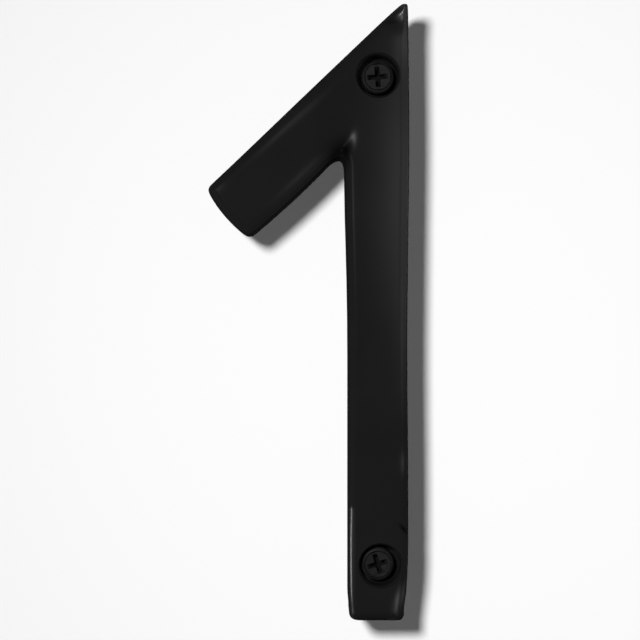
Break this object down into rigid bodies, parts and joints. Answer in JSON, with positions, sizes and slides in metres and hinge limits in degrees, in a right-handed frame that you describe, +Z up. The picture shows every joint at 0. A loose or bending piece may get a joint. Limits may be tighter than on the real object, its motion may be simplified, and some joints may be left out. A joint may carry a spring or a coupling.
{
  "type": "floating house number",
  "caption": "Black cast house number, the figure one with a sloping flag, held off the wall by spacers and fixed through counterbored holes with pan-head screws.",
  "frame": {"origin": "on the wall, midway between the two screws", "axes": "seen from the front, +X is to the right, +Y goes into the wall and +Z is up along the stem"},
  "size_m": [0.041, 0.0358, 0.127],
  "materials": {
    "black_paint": "satin",
    "blackened_steel": "satin",
    "black_plastic": "matte"
  },
  "bodies": {
    "root": {"numeral": "black_paint", "screws": "blackened_steel", "upper_spacer": "black_plastic", "lower_spacer": "black_plastic"}
  },
  "joints": []
}
